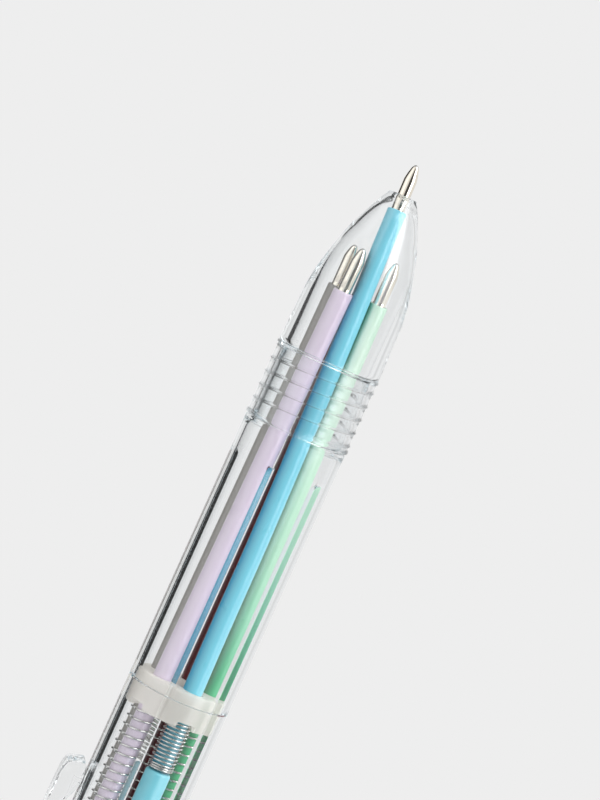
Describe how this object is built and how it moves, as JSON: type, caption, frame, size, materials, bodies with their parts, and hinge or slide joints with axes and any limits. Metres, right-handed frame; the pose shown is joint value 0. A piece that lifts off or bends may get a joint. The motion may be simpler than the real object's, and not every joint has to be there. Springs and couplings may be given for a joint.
{
  "type": "multicolor click pen",
  "caption": "Clear-barrelled retractable ballpoint pen with several colored refills, each pushed out of the nose by its own sliding button against a return spring.",
  "frame": {"origin": "centre of the end cap's flat face, on the pen's axis", "axes": "+Z along the pen's axis from the end cap to the writing tip; the clip stands at about -X, and -Y faces the viewer"},
  "size_m": [0.0189, 0.0173, 0.1461],
  "materials": {
    "clear_plastic": "polished clear polystyrene",
    "frosted_plastic": "milky translucent moulding",
    "nickel": "turned, warm nickel",
    "spring_wire": "bright drawn wire",
    "blue_plastic": "satin moulded colour",
    "mint_plastic": "satin moulded colour",
    "red_plastic": "satin moulded colour",
    "gray_plastic": "satin moulded colour",
    "lavender_plastic": "satin moulded colour"
  },
  "bodies": {
    "barrel": {"front_barrel": "clear_plastic", "rear_barrel": "clear_plastic", "spring_guide": "frosted_plastic", "latch_core": "frosted_plastic", "end_cap": "clear_plastic", "return_spring_blue": "spring_wire", "return_spring_mint": "spring_wire", "return_spring_red": "spring_wire", "return_spring_gray": "spring_wire", "return_spring_lavender": "spring_wire"},
    "nose": {"nose_cone": "clear_plastic"},
    "clip": {"clip": "clear_plastic"},
    "blue_slider": {"slider_blue": "blue_plastic"},
    "blue_refill": {"refill_tube_blue": "blue_plastic", "writing_tip_blue": "nickel", "writing_ball_blue": "nickel"},
    "mint_slider": {"slider_mint": "mint_plastic"},
    "mint_refill": {"refill_tube_mint": "mint_plastic", "writing_tip_mint": "nickel", "writing_ball_mint": "nickel"},
    "red_slider": {"slider_red": "red_plastic"},
    "red_refill": {"refill_tube_red": "red_plastic", "writing_tip_red": "nickel", "writing_ball_red": "nickel"},
    "gray_slider": {"slider_gray": "gray_plastic"},
    "gray_refill": {"refill_tube_gray": "gray_plastic", "writing_tip_gray": "nickel", "writing_ball_gray": "nickel"},
    "lavender_slider": {"slider_lavender": "lavender_plastic"},
    "lavender_refill": {"refill_tube_lavender": "lavender_plastic", "writing_tip_lavender": "nickel", "writing_ball_lavender": "nickel"}
  },
  "joints": [
    {"name": "nose_cone_off", "type": "slide", "parent": "barrel", "child": "nose", "axis": [0, 0, 1], "range_m": [0, 0.0105]},
    {"name": "clip_flex", "type": "hinge", "parent": "barrel", "child": "clip", "pos_m": [-0.0078, -0.00124, 0.005], "axis": [0.1564, -0.9877, 0], "range_deg": [0, 4], "stiffness_Nm_per_rad": 0.5},
    {"name": "blue_extend", "type": "slide", "parent": "barrel", "child": "blue_slider", "axis": [0, 0, 1], "range_m": [-0.0122, 0], "deforming": ["return_spring_blue"]},
    {"name": "blue_lean", "type": "hinge", "parent": "blue_slider", "child": "blue_refill", "pos_m": [0.0017, -0.00373, 0.0643], "axis": [-0.91, -0.4147, 0], "range_deg": [-2.01, 0], "deforming": ["refill_tube_blue", "writing_tip_blue", "writing_ball_blue"]},
    {"name": "mint_extend", "type": "slide", "parent": "barrel", "child": "mint_slider", "axis": [0, 0, 1], "range_m": [0, 0.0122], "deforming": ["return_spring_mint"]},
    {"name": "mint_lean", "type": "hinge", "parent": "mint_slider", "child": "mint_refill", "pos_m": [0.00405, 0.00064, 0.0521], "axis": [0.1564, -0.9877, 0], "range_deg": [0, 2.01], "deforming": ["refill_tube_mint", "writing_tip_mint", "writing_ball_mint"]},
    {"name": "red_extend", "type": "slide", "parent": "barrel", "child": "red_slider", "axis": [0, 0, 1], "range_m": [0, 0.0122], "deforming": ["return_spring_red"]},
    {"name": "red_lean", "type": "hinge", "parent": "red_slider", "child": "red_refill", "pos_m": [0.00064, 0.00405, 0.0521], "axis": [0.9877, -0.1564, 0], "range_deg": [0, 2.01], "deforming": ["refill_tube_red", "writing_tip_red", "writing_ball_red"]},
    {"name": "gray_extend", "type": "slide", "parent": "barrel", "child": "gray_slider", "axis": [0, 0, 1], "range_m": [0, 0.0122], "deforming": ["return_spring_gray"]},
    {"name": "gray_lean", "type": "hinge", "parent": "gray_slider", "child": "gray_refill", "pos_m": [-0.00365, 0.00186, 0.0521], "axis": [0.454, 0.891, 0], "range_deg": [0, 2.31], "deforming": ["refill_tube_gray", "writing_tip_gray", "writing_ball_gray"]},
    {"name": "lavender_extend", "type": "slide", "parent": "barrel", "child": "lavender_slider", "axis": [0, 0, 1], "range_m": [0, 0.0122], "deforming": ["return_spring_lavender"]},
    {"name": "lavender_lean", "type": "hinge", "parent": "lavender_slider", "child": "lavender_refill", "pos_m": [-0.0029, -0.0029, 0.0521], "axis": [-0.7071, 0.7071, 0], "range_deg": [0, 1.76], "deforming": ["refill_tube_lavender", "writing_tip_lavender", "writing_ball_lavender"]}
  ],
  "couplings": [
    {"joint": "blue_lean", "follows": "blue_extend", "rad_per_m": 2.8669},
    {"joint": "mint_lean", "follows": "mint_extend", "rad_per_m": 2.8669},
    {"joint": "red_lean", "follows": "red_extend", "rad_per_m": 2.8669},
    {"joint": "gray_lean", "follows": "gray_extend", "rad_per_m": 3.2961},
    {"joint": "lavender_lean", "follows": "lavender_extend", "rad_per_m": 2.5093}
  ]
}
